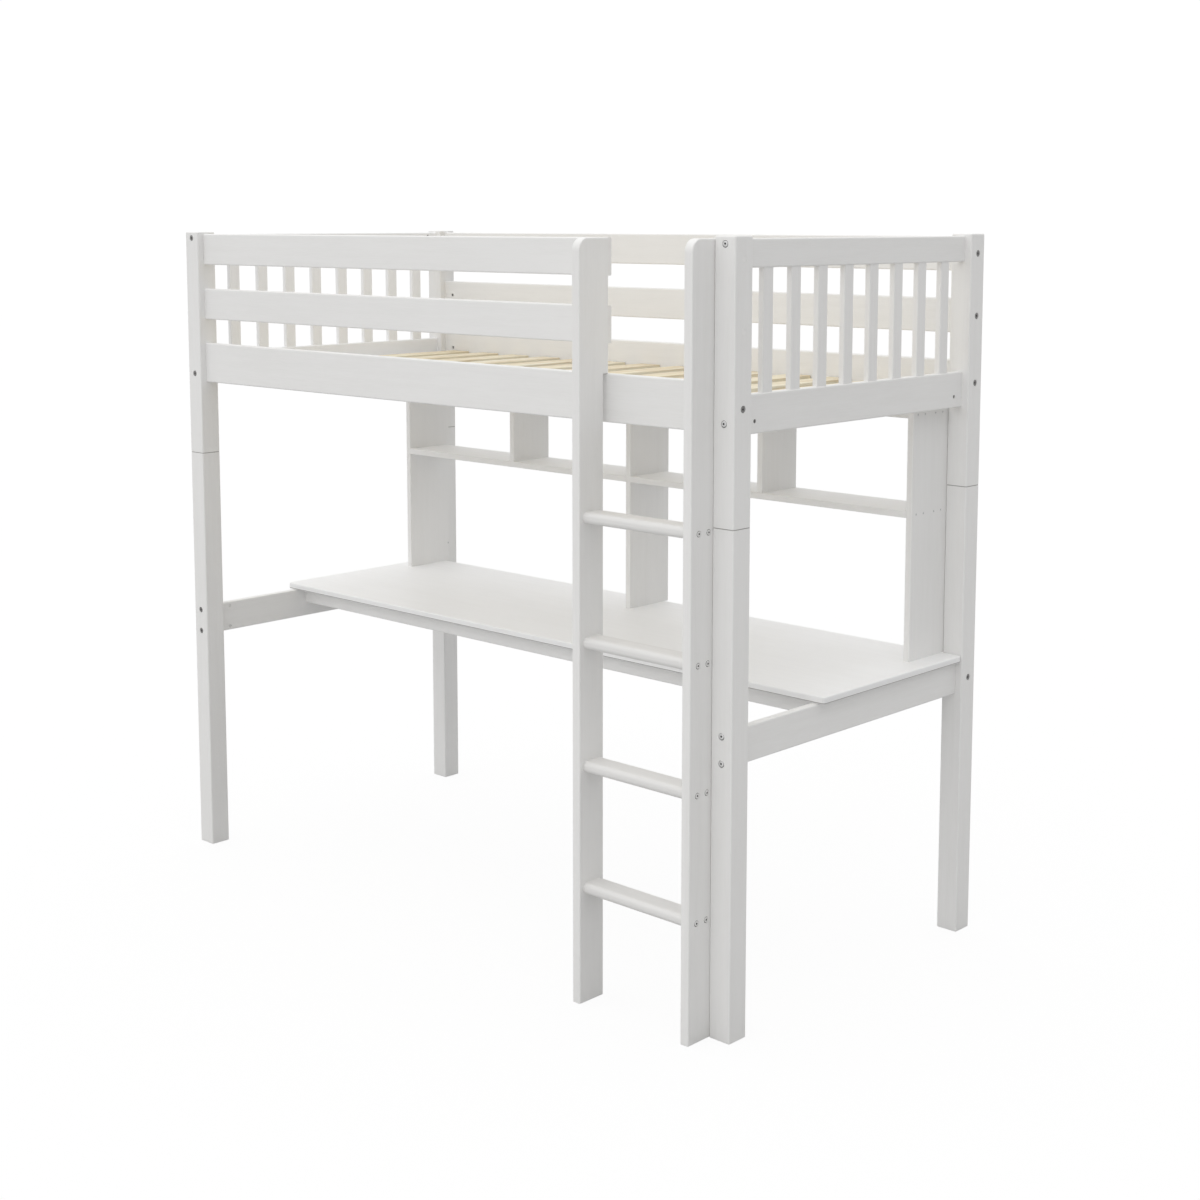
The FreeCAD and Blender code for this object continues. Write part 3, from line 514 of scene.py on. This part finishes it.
def shade_all_but_the_top(piece):
    """Only the top of the head keeps the first finish; the socket and the rest take the second, a near black
    that is painted shade.
    """
    for face in piece.data.polygons:
        on_top = face.normal.z > UNSHADED_TOP_SLOPE and face.center.z > -UNSHADED_TOP_DEPTH
        face.material_index = 0 if on_top else 1


def add_shade_ring(piece, width, head):
    """A dark ring under the head, seen only in the gap round it: a painted shadow in that gap."""
    rings = []
    for span, height in ((width, SHADE_RING_THICKNESS), (head * SHADE_RING_HOLE, 3.0 * SHADE_RING_THICKNESS)):
        bpy.ops.mesh.primitive_cylinder_add(
            vertices=28, radius=span / 2, depth=height, location=(0.0, 0.0, -SHADE_RING_DEPTH)
        )
        ring = bpy.context.object
        settle(ring, "shade_ring")
        rings.append(ring)
    shade_ring, core = rings
    cut_away(shade_ring, core)
    ease_edges(shade_ring, SHADE_RING_EASE, segments=1)
    only(piece)
    shade_ring.select_set(True)
    bpy.ops.object.join()


def keyed_shape(shape, socket, ease, shade_ring, head):
    """The headed shape with a hexagonal socket, eased edges and a dark ring of painted shade under its head.
    """
    cut_away(shape, hex_key(*socket))
    ease_edges(shape, ease)
    add_shade_ring(shape, shade_ring, head[0])
    shade_all_but_the_top(shape)
    return shape


def bolt_pattern(head):
    """A frame bolt: a wide crowned head on a long shank."""
    bolt = headed_shape("bolt", head, BOLT_SHANK, flat_share=0.64, crown=1.0 * MM, sides=40)
    return keyed_shape(bolt, BOLT_SOCKET, BOLT_EASE, BOLT_SHADE_RING, head)


def ladder_screw_pattern():
    """A ladder screw: a slightly crowned head on a short shank."""
    screw = headed_shape("ladder_screw", LADDER_HEAD, LADDER_SHANK, flat_share=0.6, crown=0.7 * MM, sides=36)
    return keyed_shape(screw, LADDER_SOCKET, LADDER_EASE, LADDER_SHADE_RING, LADDER_HEAD)


def wood_screw_pattern():
    """A small screw with a flat head and a cross recess."""
    screw = headed_shape("wood_screw", SCREW_HEAD, SCREW_SHANK, flat_share=0.8, crown=0.3 * MM, sides=20)
    for turn in (0.0, math.pi / 2):
        cut_away(screw, key_bar(*CROSS, turn))
    bpy.ops.object.shade_smooth_by_angle(angle=SMOOTH_BELOW)
    # The cross recess and the head's sides take the near black of painted shade.
    shade_all_but_the_top(screw)
    return screw


def barrel_nut_pattern():
    """A barrel nut, upright on its middle, with a slot for a screwdriver."""
    width, length = NUT
    bpy.ops.mesh.primitive_cylinder_add(vertices=28, radius=width / 2, depth=length)
    nut = bpy.context.object
    bpy.ops.mesh.primitive_cube_add(size=1.0, location=(0.0, 0.0, length / 2))
    slot_cutter = bpy.context.object
    slot_cutter.scale = (2.0 * width, *NUT_SLOT)
    settle(slot_cutter, "slot_cutter")
    cut_away(nut, slot_cutter)
    bpy.ops.mesh.primitive_cylinder_add(
        vertices=20, radius=BOLT_SHANK[0] / 2, depth=2.0 * width, rotation=(math.pi / 2, 0.0, 0.0)
    )
    cut_away(nut, bpy.context.object)
    ease_edges(nut, NUT_EASE)
    settle(nut, "barrel_nut")
    return nut


def cap_pattern(name, size, sides):
    """A push-in cap: eased rim, faintly dished face, its top at the origin."""
    width, length = size
    bpy.ops.mesh.primitive_cylinder_add(
        vertices=sides, radius=width / 2, depth=length, location=(0.0, 0.0, -length / 2)
    )
    cap = bpy.context.object
    settle(cap, name)
    open_up(cap)
    take_faces(cap, is_end_cap(0.0, 1))
    for inwards, down in DISH_STEPS:
        bpy.ops.mesh.inset(thickness=width * inwards, depth=width * down)
    close_up()
    ease_edges(cap, width * CAP_RIM_EASE, segments=3, angle=60.0)
    return cap


def set_out(pattern, places, name, node, finishes):
    """Copies of a pattern, one at each place and turned to face outwards, as one piece.

    A place with no crosswise way may stand at any angle, so each copy there is turned further.
    """
    for finish in finishes:
        pattern.data.materials.append(finish)
    copies = []
    for number, (point, outward, across) in enumerate(places):
        copy = pattern.copy()
        copy.data = pattern.data.copy()
        scene.collection.objects.link(copy)
        facing = Vector(outward)
        if across is None:
            stand = Vector((0.0, 0.0, 1.0)).rotation_difference(facing).to_matrix()
            spin = Matrix.Rotation(TURN_BETWEEN_HEADS * number, 3, "Z")
        else:
            side = Vector(across)
            stand = Matrix((side.cross(facing), side, facing)).transposed()
            spin = Matrix.Identity(3)
        copy.data.transform(Matrix.Translation(point) @ (stand @ spin).to_4x4())
        copies.append(copy)
    bpy.data.objects.remove(pattern)
    only(copies[0])
    for copy in copies[1:]:
        copy.select_set(True)
    bpy.ops.object.join()
    whole = copies[0]
    whole.name = name
    whole.data.name = name
    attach(whole, "root")
    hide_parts(node)


# ---------------------------------------------------------- fastener places
WAY = {
    "left": (-1.0, 0.0, 0.0),
    "right": (1.0, 0.0, 0.0),
    "front": (0.0, -1.0, 0.0),
    "rear": (0.0, 1.0, 0.0),
    "up": (0.0, 0.0, 1.0),
    "down": (0.0, 0.0, -1.0),
}


def middle(name):
    low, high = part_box(name)
    return (low + high) / 2


def axis_of(way):
    """The number of the axis that a way runs along."""
    return [abs(part) for part in WAY[way]].index(1.0)


def face_of(name, way):
    """Where a node's outer face lies, on the axis that the face looks along."""
    low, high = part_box(name)
    axis = axis_of(way)
    return (high if WAY[way][axis] > 0 else low)[axis]


def spot(way, along, other, third):
    """A point on a face: along its own axis, then the two other coordinates in order."""
    axis = axis_of(way)
    rest = [other, third]
    point = [along if i == axis else rest.pop(0) for i in range(3)]
    return Vector(point)


PANEL_BOLT_OFFSET = 33.0 * MM
DESK_BOLT_OFFSET = 32.0 * MM


def on_right_post(way, sideways):
    """Whether a bolt that looks to the front or rear sits in a right-hand post."""
    return way in ("front", "rear") and sideways > 0


def frame_bolt_joints():
    """Each bolt's place and way, with the barrel nut's place and ways."""
    bolts = []
    nuts = []

    def joint(post, rail, way, height, nut_way, sideways):
        inward = -1.0 if WAY[way][0] + WAY[way][1] > 0 else 1.0
        head = face_of(post, way) + inward * HEAD_BELOW_FACE
        nut = face_of(rail, way) + inward * NUT_FROM_END
        shift = BOLT_HEAD_SHIFT if on_right_post(way, sideways) else Vector()
        bolts.append((spot(way, head, sideways, height) + shift, WAY[way], None))
        nuts.append((spot(way, nut, sideways, height), WAY[nut_way], WAY[way]))

    for row, inner in (("front", "rear"), ("rear", "front")):
        for level in ("side_rail", "mid_guard", "top_guard"):
            rail = row + "_" + level
            for end in ("left", "right"):
                if row == "front" and end == "right" and level != "side_rail":
                    continue
                joint("upper_post_%s_%s" % (row, end), rail, end, middle(rail).z, inner, middle(rail).y)
    for end in ("left", "right"):
        height = middle("rear_desk_rail").z
        joint("lower_leg_rear_" + end, "rear_desk_rail", end, height, "front", middle("rear_desk_rail").y)
    for panel, end, inner in (("head", "left", "right"), ("foot", "right", "left")):
        across = middle("upper_post_front_" + end).x
        low = middle("front_side_rail").z - PANEL_BOLT_OFFSET
        high = middle("front_top_guard").z + PANEL_BOLT_OFFSET
        desk = middle("desk_side_rail_" + end).z
        for row in ("front", "rear"):
            post = "upper_post_%s_%s" % (row, end)
            leg = "lower_leg_%s_%s" % (row, end)
            joint(post, panel + "_low_rail", row, low, end, across)
            joint(post, panel + "_top_rail", row, high, inner, across)
            for height in (desk - DESK_BOLT_OFFSET, desk + DESK_BOLT_OFFSET):
                joint(leg, "desk_side_rail_" + end, row, height, inner, across)
    return bolts, nuts


RUNGS = 4
RUNG_SCREW_OFFSET = 17.0 * MM
POST_SCREW_INSET = 60.0 * MM


def ladder_screw_places():
    places = []
    for number in range(1, RUNGS + 1):
        rung = middle("ladder_rung_%d" % number)
        for end in ("left", "right"):
            face = face_of("ladder_stile_" + end, end)
            for offset in (-RUNG_SCREW_OFFSET, RUNG_SCREW_OFFSET):
                back = rung.y + offset + HEAD_SLACK
                places.append((spot(end, face, back, rung.z), WAY[end], None))
    face = face_of("ladder_stile_right", "left")
    across = (face_of("upper_post_front_right", "front") + face_of("ladder_stile_right", "rear")) / 2
    rail_top = face_of("front_side_rail", "up")
    guard_top = face_of("front_top_guard", "up")
    for height in (rail_top + POST_SCREW_INSET, guard_top - POST_SCREW_INSET):
        places.append((spot("left", face, across, height), WAY["left"], None))
    return places


SLATS = 14
CLEAT_WIDTH = 22.0 * MM
CLEAT_SCREW_INSET = 120.0 * MM
GUARD_SCREW_OFFSET = 25.0 * MM
SHELF_SCREW_INSET = 20.0 * MM
SHELF_SCREW_PAIR = 33.0 * MM
UPRIGHT_SCREW_INSET = 60.0 * MM
SHELF_THICKNESS = 18.0 * MM


def wood_screw_places():
    places = []

    def put(way, along, other, third):
        places.append((spot(way, along, other, third), WAY[way], None))

    cleat_low, cleat_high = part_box("slat_cleats")
    cleat_height = (cleat_low.z + cleat_high.z) / 2
    inner_end = face_of("front_side_rail", "right")
    for across in (CLEAT_SCREW_INSET - inner_end, 0.0, inner_end - CLEAT_SCREW_INSET):
        put("rear", cleat_low.y + CLEAT_WIDTH, across, cleat_height)
        put("front", cleat_high.y - CLEAT_WIDTH, across, cleat_height)
    for number in range(1, SLATS + 1):
        slat = "bed_slat_%02d" % number
        for back in (cleat_low.y + CLEAT_WIDTH / 2, cleat_high.y - CLEAT_WIDTH / 2):
            put("up", face_of(slat, "up"), middle(slat).x, back)
    housed = (face_of("ladder_stile_left", "left") + face_of("front_top_guard", "right")) / 2
    for guard in ("front_mid_guard", "front_top_guard"):
        for offset in (-GUARD_SCREW_OFFSET, GUARD_SCREW_OFFSET):
            put("rear", face_of(guard, "rear"), housed, middle(guard).z + offset)
    back_edge = (face_of("shelf_upright_left", "rear") + face_of("lower_leg_rear_left", "front")) / 2
    bottom = face_of("shelf_upright_left", "down")
    top = face_of("shelf_upright_left", "up")
    for end, inner in (("left", "right"), ("right", "left")):
        for height in (bottom + UPRIGHT_SCREW_INSET, top - UPRIGHT_SCREW_INSET):
            put(inner, face_of("shelf_upright_" + end, inner), back_edge, height)
    shelf_front = face_of("shelf_board_left", "front")
    shelf_back = face_of("shelf_board_left", "rear")
    top_board = face_of("shelf_top_boards", "up")
    for end in ("left", "right"):
        shelf = "shelf_board_" + end
        for back in (shelf_front + SHELF_SCREW_INSET, shelf_back - SHELF_SCREW_INSET):
            put("up", top_board, middle(shelf).x, back)
            put("down", face_of(shelf, "down"), middle(shelf).x, back)
        for height in (middle(shelf).z, top_board - SHELF_THICKNESS / 2):
            for inset in (SHELF_SCREW_INSET, SHELF_SCREW_INSET + SHELF_SCREW_PAIR):
                for back in (shelf_front + inset, shelf_back - inset):
                    put(end, face_of("shelf_upright_" + end, end), back, height)
    return places


LOW_SPARE_HEIGHTS = (237.0 * MM, 273.0 * MM, 309.0 * MM)
HIGH_SPARE_HEIGHTS = (697.0 * MM, 715.0 * MM, 733.0 * MM)


def large_cap_places():
    post = "upper_post_front_right"
    face = face_of(post, "right")
    heights = (middle("front_mid_guard").z, middle("front_top_guard").z)
    return [(spot("right", face, middle(post).y, height), WAY["right"], None) for height in heights]


def small_cap_places():
    places = []
    for row in ("front", "rear"):
        heights = LOW_SPARE_HEIGHTS + (HIGH_SPARE_HEIGHTS if row == "front" else ())
        for end, inner in (("left", "right"), ("right", "left")):
            leg = "lower_leg_%s_%s" % (row, end)
            for height in heights:
                places.append((spot(inner, face_of(leg, inner), middle(leg).y, height), WAY[inner], None))
    return places


def on_lit_side(point, outward, _):
    """The bolts in the front and rear faces of the right posts take the bright finish, and the others the
    dark one: lit and shaded copies of one bolt, painted by the side that the head faces.
    """
    return outward[1] != 0.0 and point.x > 0


def fit_hardware():
    """Every fastener and cap, in place of the plain ones."""
    bright = bare_metal("bright_zinc", 0.34, 0.35, ZINC_DULL, ZINC)
    # Dark steel, partly burnished tone and partly painted shade, for the shaded-side bolts and the bed's
    # nuts.
    burnished_and_shaded = bare_metal("burnished_and_shaded_steel", 0.32, 1.0, BURNISHED_AND_SHADED_DULL, BURNISHED_AND_SHADED)
    # Near-black painted shade for the sockets, the head sides and the rings in the gaps.
    socket_shade = bare_metal("painted_socket_shade", 0.5, 0.6, SOCKET_SHADE, SOCKET_SHADE_SOFT)
    lacquer = speckled_white("lacquered_steel", 0.35, 1400.0, (PAINT_IN_PORES, LACQUER))
    plastic = speckled_white("moulded_cap", 0.4, 1800.0, (PAINT, CAP_WHITE))
    zinc = (bright, socket_shade)
    dark = (burnished_and_shaded, socket_shade)
    white = (lacquer, socket_shade)
    bolts, nuts = frame_bolt_joints()
    # The bolts are split by the side they face into a bright, lit copy and a dark copy that is painted
    # shade.
    lit_side_bolts = [place for place in bolts if on_lit_side(*place)]
    shaded_side_bolts = [place for place in bolts if not on_lit_side(*place)]
    desk_height = middle("desktop").z
    bed_nuts = [place for place in nuts if place[0].z > desk_height]
    desk_nuts = [place for place in nuts if place[0].z < desk_height]
    set_out(bolt_pattern(LIT_SIDE_BOLT_HEAD), lit_side_bolts, "lit_side_bolts", "frame_bolts", zinc)
    set_out(bolt_pattern(SHADED_SIDE_BOLT_HEAD), shaded_side_bolts, "shaded_side_bolts", "frame_bolts", dark)
    # The bed's nuts take the dark steel: burnished tone with painted shade.
    set_out(barrel_nut_pattern(), bed_nuts, "bed_barrel_nuts", "barrel_nuts", (burnished_and_shaded,))
    set_out(barrel_nut_pattern(), desk_nuts, "desk_barrel_nuts", "barrel_nuts", (lacquer,))
    screws = ladder_screw_places()
    set_out(ladder_screw_pattern(), screws, "ladder_screws_finished", "ladder_screws", white)
    screws = wood_screw_places()
    set_out(wood_screw_pattern(), screws, "wood_screws_finished", "wood_screws", zinc)
    large = cap_pattern("large_cap", LARGE_CAP, sides=36)
    small = cap_pattern("small_cap", SMALL_CAP, sides=24)
    set_out(large, large_cap_places(), "bolt_hole_caps", "hole_plugs", (plastic,))
    set_out(small, small_cap_places(), "spare_hole_caps", "hole_plugs", (plastic,))


# ------------------------------------------------------------- floor and light
LIGHT = {"left": 1.03, "right": 0.48, "front": 1.29, "rear": 1.04, "above": 1.24}
FLOOR_TONE = (0.5, 0.5, 0.5)
FLOOR_SHADE = (0.48, 0.48, 0.48)
FLOOR_GLOW = 0.85
FLOOR_BRIGHTNESS = 1.08
FLOOR_SPAN = 60.0
BACKDROP_BRIGHTNESS = 1.02
WHITE = (1.0, 1.0, 1.0, 1.0)
FLOOR_CLEARANCE = 0.0003
LOBES = (
    ("left", (-1.0, 0.0, 0.3), 3.0),
    ("right", (1.0, 0.0, 0.3), 3.0),
    ("front", (0.0, -1.0, 0.3), 4.0),
    ("rear", (0.0, 1.0, 0.3), 4.0),
    ("above", (0.0, 0.0, 1.0), 2.0),
)


def seen_by_camera(tree):
    """1 for what is looked at straight, and 0 for what only lights the bed."""
    return tree.nodes.new("ShaderNodeLightPath").outputs["Is Camera Ray"]


def mixed(tree, share, first, second):
    """The two shaders mixed, all of the second where the share is 1."""
    node = tree.nodes.new("ShaderNodeMixShader")
    for source, socket in zip((share, first.outputs[0], second.outputs[0]), node.inputs):
        tree.links.new(source, socket)
    return node.outputs[0]


def lay_floor():
    """A plain floor that looks almost white and still takes a faint shadow."""
    bpy.ops.mesh.primitive_plane_add(size=FLOOR_SPAN, location=(0.0, 0.0, -FLOOR_CLEARANCE))
    floor = bpy.context.object
    floor.name = "floor"
    material, tree, shader = blank_finish("pale_floor", 0.9)
    tone = noise(tree, object_place(tree), scale=0.4)
    tree.links.new(between(tree, tone, FLOOR_SHADE, FLOOR_TONE), shader.inputs["Base Color"])
    glow = tree.nodes.new("ShaderNodeEmission")
    glow.inputs["Strength"].default_value = FLOOR_BRIGHTNESS
    share = maths(tree, "MULTIPLY", seen_by_camera(tree), FLOOR_GLOW)
    surface = mixed(tree, share, shader, glow)
    tree.links.new(surface, tree.nodes["Material Output"].inputs["Surface"])
    floor.data.materials.append(material)


def background(tree):
    node = tree.nodes.new("ShaderNodeBackground")
    node.inputs["Color"].default_value = WHITE
    return node


def light_studio():
    """A wide soft dome, brightest over the bed and to its left, seen as plain white."""
    world = bpy.data.worlds.new("studio")
    scene.world = world
    world.use_nodes = True
    tree = world.node_tree
    tree.nodes.clear()
    direction = tree.nodes.new("ShaderNodeTexCoord").outputs["Generated"]
    total = 0.0
    for name, way, sharpness in LOBES:
        facing = tree.nodes.new("ShaderNodeVectorMath")
        facing.operation = "DOT_PRODUCT"
        tree.links.new(direction, facing.inputs[0])
        facing.inputs[1].default_value = Vector(way).normalized()
        lobe = maths(tree, "POWER", maths(tree, "MAXIMUM", facing.outputs["Value"]), sharpness)
        total = added(tree, total, lobe, LIGHT[name])
    dome = background(tree)
    tree.links.new(total, dome.inputs["Strength"])
    seen = background(tree)
    seen.inputs["Strength"].default_value = BACKDROP_BRIGHTNESS
    output = tree.nodes.new("ShaderNodeOutputWorld")
    tree.links.new(mixed(tree, seen_by_camera(tree), dome, seen), output.inputs["Surface"])
    scene.view_settings.view_transform = "Standard"


stand_camera()
paint_the_wood()
fit_hardware()
lay_floor()
light_studio()
